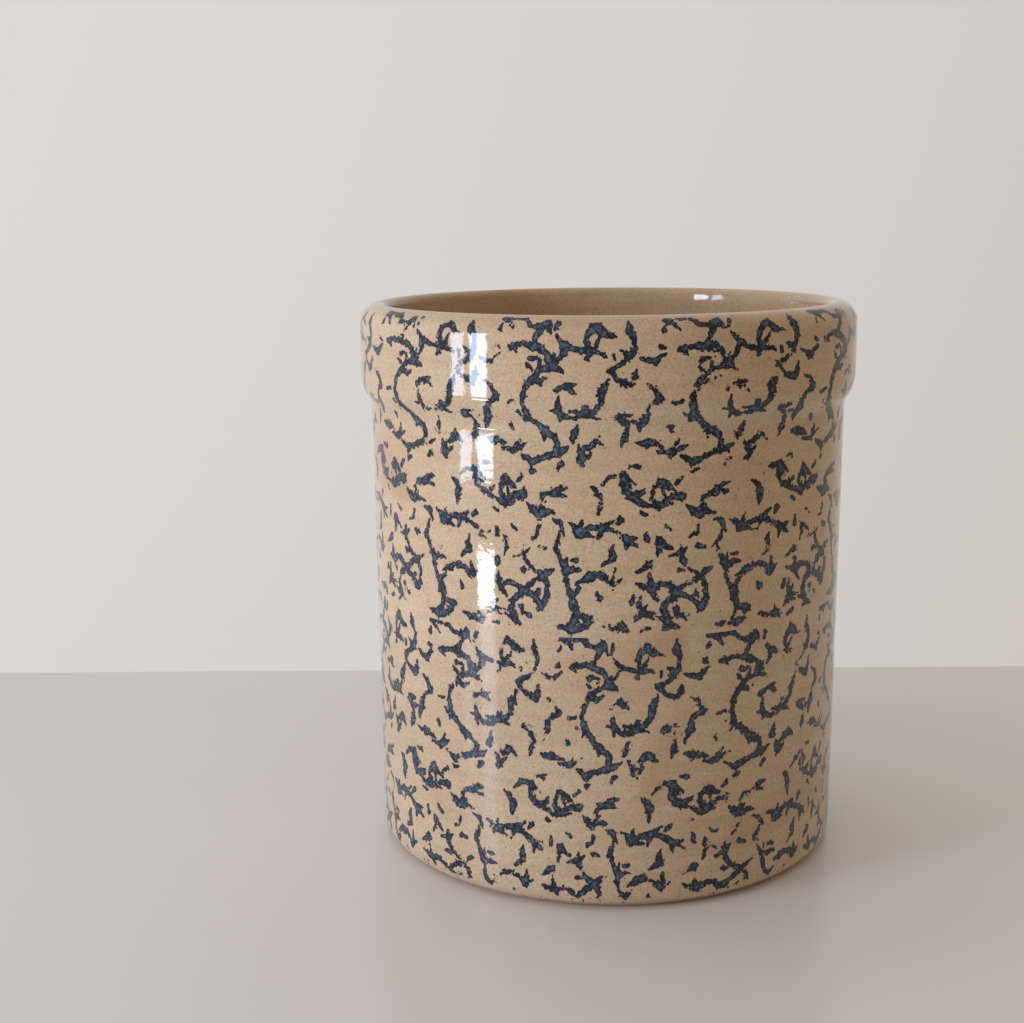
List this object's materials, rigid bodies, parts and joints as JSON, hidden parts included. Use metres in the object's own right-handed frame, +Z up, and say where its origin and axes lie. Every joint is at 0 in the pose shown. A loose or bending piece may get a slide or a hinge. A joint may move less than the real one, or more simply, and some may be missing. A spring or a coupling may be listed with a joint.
{
  "type": "stoneware fermenting crock",
  "caption": "Open straight-sided stoneware crock with a rolled collar, mottled print under clear glaze and loose half-moon weights, for fermenting or storing food.",
  "frame": {"origin": "middle of the foot, on the surface that the crock stands on", "axes": "+Z up along the crock's axis; the gap between the half-moon weights runs along Y; -Y faces the viewer"},
  "size_m": [0.18, 0.18, 0.1995],
  "materials": {
    "stoneware_clay": "bare fired stoneware, matt",
    "clear_glaze_over_print": "glossy clear glaze over buff clay with a blue sponged print",
    "weight_stoneware": "bare fired stoneware, matt"
  },
  "bodies": {
    "crock": {"crock_body": "stoneware_clay", "glaze_coat": "clear_glaze_over_print"},
    "left_weight": {"weight_left": "weight_stoneware"},
    "right_weight": {"weight_right": "weight_stoneware"}
  },
  "joints": [
    {"name": "lift_left_weight", "type": "slide", "parent": "crock", "child": "left_weight", "axis": [0, 0, 1], "range_m": [0, 0.2]},
    {"name": "lift_right_weight", "type": "slide", "parent": "crock", "child": "right_weight", "axis": [0, 0, 1], "range_m": [0, 0.2]}
  ]
}
